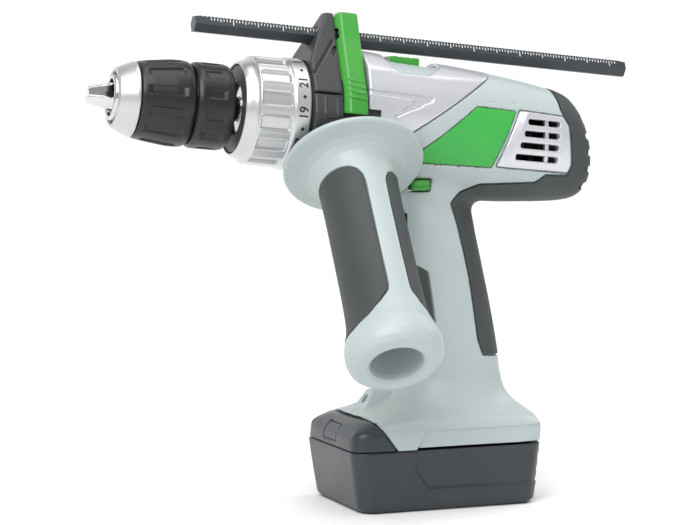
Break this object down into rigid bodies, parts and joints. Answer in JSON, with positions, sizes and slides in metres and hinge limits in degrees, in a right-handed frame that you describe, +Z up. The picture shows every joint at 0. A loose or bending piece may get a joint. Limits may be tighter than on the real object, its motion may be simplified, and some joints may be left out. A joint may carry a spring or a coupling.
{
  "type": "cordless hammer drill",
  "caption": "Pistol-grip cordless drill with keyless chuck, torque collar, clamped side handle and depth rod, standing on its slide-in battery.",
  "frame": {"origin": "middle of the battery's flat foot", "axes": "+X forward to the chuck, +Y to the drill's left, +Z up; the spindle is pitched nose-up 5.4 degrees"},
  "size_m": [0.2847, 0.1518, 0.245],
  "materials": {
    "pale_plastic": "fine grained pale grey-green moulded plastic",
    "silver_paint": "satin silver-white paint",
    "green_plastic": "bright green moulded plastic",
    "dark_plastic": "dark grey moulded plastic",
    "soft_rubber": "soft overmould with a fine grain",
    "black_plastic": "black satin plastic",
    "steel": "machined steel",
    "satin_alloy": "satin alloy",
    "silver_plastic": "satin silver plastic",
    "copper": "wound copper and laminated steel",
    "battery_plastic": "dark blue-grey textured plastic",
    "clear_lens": "clear lens"
  },
  "bodies": {
    "drill_body": {"housing_left": "pale_plastic", "housing_right": "pale_plastic", "top_cover": "silver_paint", "rear_overmould": "soft_rubber", "grip_front_inlay": "soft_rubber", "side_panel_left": "green_plastic", "side_panel_right": "green_plastic", "vent_grille_left": "silver_paint", "vent_grille_right": "silver_paint", "lamp_housing": "pale_plastic", "lamp_lens": "clear_lens", "switch_module": "black_plastic", "terminal_block": "black_plastic", "gearbox_case": "dark_plastic", "spindle_bearing": "steel", "ring_gear": "steel", "motor_can": "steel", "motor_end_cap": "black_plastic"},
    "motor_rotor": {"motor_shaft": "steel", "armature": "copper", "motor_pinion": "steel", "cooling_fan": "black_plastic"},
    "planet_1": {"planet_gear_1": "steel"},
    "planet_2": {"planet_gear_2": "steel"},
    "planet_3": {"planet_gear_3": "steel"},
    "spindle": {"output_spindle": "steel", "chuck_body": "steel", "chuck_rear_sleeve": "black_plastic"},
    "chuck_sleeve": {"chuck_front_sleeve": "black_plastic", "chuck_nose_ring": "satin_alloy", "chuck_nut": "steel"},
    "chuck_jaw_1": {"jaw_1": "steel"},
    "chuck_jaw_2": {"jaw_2": "steel"},
    "chuck_jaw_3": {"jaw_3": "steel"},
    "collar": {"torque_collar": "silver_plastic"},
    "selector": {"gear_selector": "green_plastic"},
    "direction": {"direction_button": "green_plastic"},
    "trigger_piece": {"trigger": "black_plastic"},
    "clamp": {"clamp_yoke": "dark_plastic", "clamp_saddle": "dark_plastic"},
    "lever": {"rod_lock_lever": "green_plastic"},
    "rod": {"depth_rod": "battery_plastic"},
    "handle": {"handle_core": "pale_plastic", "handle_inlay_front": "soft_rubber", "handle_inlay_rear": "soft_rubber", "clamp_bolt": "steel"},
    "battery": {"battery_case": "battery_plastic", "battery_deck": "battery_plastic", "battery_cap": "battery_plastic", "battery_cell_1": "satin_alloy", "battery_cell_2": "satin_alloy", "battery_cell_3": "satin_alloy", "battery_cell_4": "satin_alloy", "battery_cell_5": "satin_alloy"},
    "latch": {"battery_latch": "battery_plastic"}
  },
  "joints": [
    {"name": "chuck_spin", "type": "hinge", "parent": "drill_body", "child": "spindle", "pos_m": [0, 0, 0.1886], "axis": [0.9955, 0, 0.0945], "continuous": true},
    {"name": "motor_spin", "type": "hinge", "parent": "drill_body", "child": "motor_rotor", "pos_m": [0, 0, 0.1886], "axis": [0.9955, 0, 0.0945], "continuous": true},
    {"name": "planet_spin_1", "type": "hinge", "parent": "spindle", "child": "planet_1", "pos_m": [0.04082, 0.01282, 0.19247], "axis": [0.9955, 0, 0.0945], "continuous": true},
    {"name": "planet_spin_2", "type": "hinge", "parent": "spindle", "child": "planet_2", "pos_m": [0.03977, -0.00641, 0.20353], "axis": [0.9955, 0, 0.0945], "continuous": true},
    {"name": "planet_spin_3", "type": "hinge", "parent": "spindle", "child": "planet_3", "pos_m": [0.04187, -0.00641, 0.18142], "axis": [0.9955, 0, 0.0945], "continuous": true},
    {"name": "chuck_sleeve_turn", "type": "hinge", "parent": "spindle", "child": "chuck_sleeve", "pos_m": [0, 0, 0.1886], "axis": [0.9955, 0, 0.0945], "range_deg": [0, 2160]},
    {"name": "jaw_slide_1", "type": "slide", "parent": "spindle", "child": "chuck_jaw_1", "axis": [-0.9888, 0, 0.1492], "range_m": [0, 0.0248]},
    {"name": "jaw_slide_2", "type": "slide", "parent": "spindle", "child": "chuck_jaw_2", "axis": [-0.9545, -0.2095, -0.2121], "range_m": [0, 0.0248]},
    {"name": "jaw_slide_3", "type": "slide", "parent": "spindle", "child": "chuck_jaw_3", "axis": [-0.9545, 0.2095, -0.2121], "range_m": [0, 0.0248]},
    {"name": "torque_collar_turn", "type": "hinge", "parent": "drill_body", "child": "collar", "pos_m": [0, 0, 0.1886], "axis": [0.9955, 0, 0.0945], "range_deg": [0, 330]},
    {"name": "gear_selector_slide", "type": "slide", "parent": "drill_body", "child": "selector", "axis": [-0.9955, 0, -0.0945], "range_m": [0, 0.007]},
    {"name": "direction_slide", "type": "slide", "parent": "drill_body", "child": "direction", "axis": [0, 1, 0], "range_m": [-0.0025, 0.0025]},
    {"name": "trigger_pull", "type": "slide", "parent": "drill_body", "child": "trigger_piece", "axis": [-1, 0, 0], "range_m": [0, 0.006], "stiffness_N_per_m": 1200, "springref_m": -0.003},
    {"name": "clamp_swivel", "type": "hinge", "parent": "drill_body", "child": "clamp", "pos_m": [0, 0, 0.1886], "axis": [0.9955, 0, 0.0945], "range_deg": [-3, 50]},
    {"name": "rod_lock_press", "type": "hinge", "parent": "clamp", "child": "lever", "pos_m": [0, 0, 0.1886], "axis": [0.9955, 0, 0.0945], "range_deg": [0, 5], "stiffness_Nm_per_rad": 0.8, "springref_deg": -2.86},
    {"name": "depth_rod_slide", "type": "slide", "parent": "clamp", "child": "rod", "axis": [0.9955, 0, 0.0945], "range_m": [-0.06, 0.04]},
    {"name": "side_handle_twist", "type": "hinge", "parent": "clamp", "child": "handle", "pos_m": [0.04052, 0, 0.19244], "axis": [0.0712, 0.6566, -0.7509], "range_deg": [0, 720]},
    {"name": "battery_slide", "type": "slide", "parent": "drill_body", "child": "battery", "axis": [1, 0, 0], "range_m": [0, 0.12]},
    {"name": "battery_latch_press", "type": "slide", "parent": "battery", "child": "latch", "axis": [-1, 0, 0], "range_m": [0, 0.002], "stiffness_N_per_m": 900, "springref_m": -0.001}
  ],
  "couplings": [
    {"joint": "motor_spin", "follows": "chuck_spin", "ratio": 4.5},
    {"joint": "planet_spin_1", "follows": "chuck_spin", "ratio": -2.8},
    {"joint": "planet_spin_2", "follows": "chuck_spin", "ratio": -2.8},
    {"joint": "planet_spin_3", "follows": "chuck_spin", "ratio": -2.8},
    {"joint": "jaw_slide_1", "follows": "chuck_sleeve_turn", "m_per_rad": 0.00065788},
    {"joint": "jaw_slide_2", "follows": "chuck_sleeve_turn", "m_per_rad": 0.00065788},
    {"joint": "jaw_slide_3", "follows": "chuck_sleeve_turn", "m_per_rad": 0.00065788}
  ]
}
